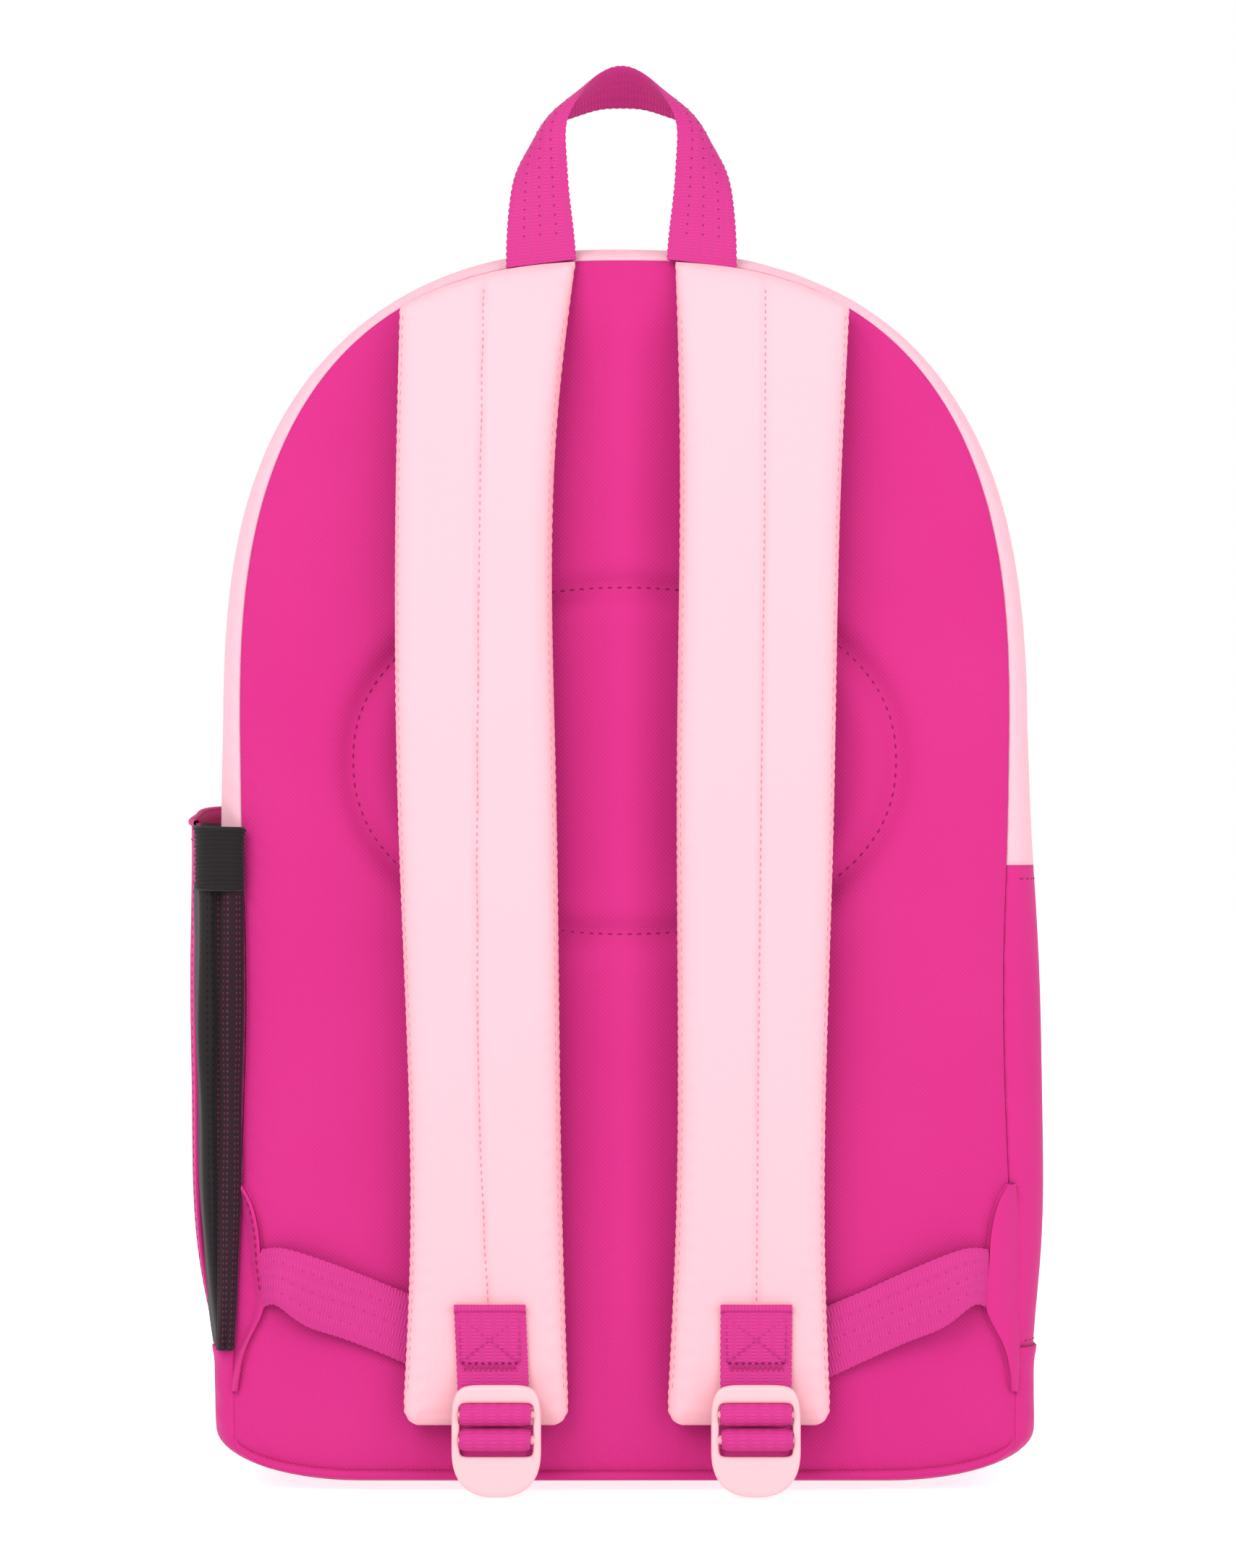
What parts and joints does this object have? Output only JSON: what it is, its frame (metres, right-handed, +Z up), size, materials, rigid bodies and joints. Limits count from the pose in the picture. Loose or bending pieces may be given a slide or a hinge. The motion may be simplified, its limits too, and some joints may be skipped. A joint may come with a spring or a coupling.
{
  "type": "school backpack",
  "caption": "Child-size school backpack: arched zipped bag with front pocket, side bottle pocket, padded shoulder straps on ladder locks, and a grab handle.",
  "frame": {"origin": "on the floor under the middle of the base, between the back panel and the front panel", "axes": "+Z up; -Y towards the wearer, the side with the shoulder straps; +X to the right seen from that side"},
  "size_m": [0.2987, 0.1853, 0.4975],
  "materials": {
    "back_twill": "fine diagonal twill, satin",
    "foam": "soft open foam",
    "lining": "plain woven lining, matt",
    "binding": "folded woven tape, matt",
    "light_cloth": "plain woven polyester, satin",
    "magenta_cloth": "plain woven polyester, satin",
    "pocket_cloth": "plain woven polyester, satin",
    "board": "smooth moulded sheet",
    "zip_tape": "woven tape, matt",
    "zip_teeth": "moulded coil, satin",
    "zip_metal": "gloss enamel",
    "pocket_mesh": "open knitted mesh, matt",
    "elastic": "ribbed woven elastic, matt",
    "strap_cloth": "plain woven polyester, satin",
    "strap_mesh": "spacer mesh, matt",
    "webbing": "ribbed webbing, satin",
    "lock_plastic": "moulded, gloss"
  },
  "bodies": {
    "bag": {"adjuster_webbing_left": "webbing", "adjuster_webbing_right": "webbing", "back_foam": "foam", "back_lining": "lining", "back_panel_cover": "back_twill", "back_piping": "binding", "base_board": "board", "base_panel": "magenta_cloth", "bottle_pocket_elastic": "elastic", "bottle_pocket_mesh": "pocket_mesh", "bottle_pocket_panel": "magenta_cloth", "front_fold": "magenta_cloth", "front_panel_lower": "magenta_cloth", "front_pocket_shell": "pocket_cloth", "front_zip_lower": "zip_tape", "front_zip_upper": "zip_tape", "gusset_front_left": "light_cloth", "gusset_front_right": "light_cloth", "gusset_rear": "light_cloth", "inner_sleeve": "lining", "main_zip_tape_rear": "zip_tape", "main_zip_teeth_rear": "zip_teeth", "side_panel_left": "magenta_cloth", "side_panel_right": "magenta_cloth", "sleeve_binding": "binding", "wing_left": "magenta_cloth", "wing_right": "magenta_cloth", "zip_end_tab_left": "binding", "zip_end_tab_right": "binding", "zip_fold_left": "zip_tape", "zip_fold_right": "zip_tape", "zip_side_left": "zip_tape", "zip_side_right": "zip_tape"},
    "front_flap": {"front_panel_upper": "magenta_cloth", "gusset_front_upper": "light_cloth", "main_zip_tape_front": "zip_tape", "main_zip_teeth_front": "zip_teeth"},
    "main_slider_left": {"main_slider_left": "zip_metal"},
    "main_slider_right": {"main_slider_right": "zip_metal"},
    "main_pull_left": {"main_pull_left": "zip_metal"},
    "main_pull_right": {"main_pull_right": "zip_metal"},
    "front_slider": {"front_slider": "zip_metal"},
    "front_pull": {"front_pull": "zip_metal"},
    "handle": {"grab_handle": "webbing"},
    "strap_left": {"strap_lining_left": "strap_mesh", "strap_foam_left": "foam", "strap_face_left": "strap_cloth", "strap_patch_left": "webbing"},
    "lock_left": {"ladder_lock_left": "lock_plastic", "adjuster_loop_left": "webbing"},
    "strap_right": {"strap_lining_right": "strap_mesh", "strap_foam_right": "foam", "strap_face_right": "strap_cloth", "strap_patch_right": "webbing"},
    "lock_right": {"ladder_lock_right": "lock_plastic", "adjuster_loop_right": "webbing"}
  },
  "joints": [
    {"name": "front_flap_fold", "type": "hinge", "parent": "bag", "child": "front_flap", "pos_m": [0, 0.032, 0.35], "axis": [-1, 0, 0], "range_deg": [0, 60], "deforming": ["front_fold", "zip_fold_left", "zip_fold_right"]},
    {"name": "main_slider_left_travel", "type": "hinge", "parent": "bag", "child": "main_slider_left", "pos_m": [0, 0.008, 0.288], "axis": [0, -1, 0], "range_deg": [0, 58]},
    {"name": "main_pull_left_lift", "type": "hinge", "parent": "main_slider_left", "child": "main_pull_left", "pos_m": [-0.01317, 0.008, 0.43734], "axis": [0, 1, 0], "range_deg": [0, 110]},
    {"name": "main_slider_right_travel", "type": "hinge", "parent": "bag", "child": "main_slider_right", "pos_m": [0, 0.008, 0.288], "axis": [0, 1, 0], "range_deg": [0, 58]},
    {"name": "main_pull_right_lift", "type": "hinge", "parent": "main_slider_right", "child": "main_pull_right", "pos_m": [0.01317, 0.008, 0.43734], "axis": [0, -1, 0], "range_deg": [0, 110]},
    {"name": "front_slider_travel", "type": "slide", "parent": "bag", "child": "front_slider", "axis": [1, 0, 0], "range_m": [0, 0.16]},
    {"name": "front_pull_swing", "type": "hinge", "parent": "front_slider", "child": "front_pull", "pos_m": [-0.08, 0.0844, 0.178], "axis": [0, 1, 0], "range_deg": [-40, 40]},
    {"name": "strap_left_swing", "type": "hinge", "parent": "bag", "child": "strap_left", "pos_m": [-0.048, -0.0742, 0.424], "axis": [-1, 0, 0], "range_deg": [0, 12], "deforming": ["adjuster_webbing_left"]},
    {"name": "lock_left_tilt", "type": "hinge", "parent": "strap_left", "child": "lock_left", "pos_m": [-0.0444, -0.095, 0.0293], "axis": [-1, 0, 0], "range_deg": [0, 25], "deforming": ["strap_patch_left"]},
    {"name": "strap_right_swing", "type": "hinge", "parent": "bag", "child": "strap_right", "pos_m": [0.048, -0.0742, 0.424], "axis": [-1, 0, 0], "range_deg": [0, 12], "deforming": ["adjuster_webbing_right"]},
    {"name": "lock_right_tilt", "type": "hinge", "parent": "strap_right", "child": "lock_right", "pos_m": [0.0454, -0.095, 0.0293], "axis": [-1, 0, 0], "range_deg": [0, 25], "deforming": ["strap_patch_right"]},
    {"name": "handle_fold", "type": "hinge", "parent": "bag", "child": "handle", "pos_m": [0, -0.069, 0.4345], "axis": [-1, 0, 0], "range_deg": [-35, 60], "stiffness_Nm_per_rad": 0.02}
  ],
  "couplings": [
    {"joint": "main_slider_left_travel", "follows": "front_flap_fold", "ratio": 0.9666},
    {"joint": "main_slider_right_travel", "follows": "front_flap_fold", "ratio": 0.9666}
  ]
}
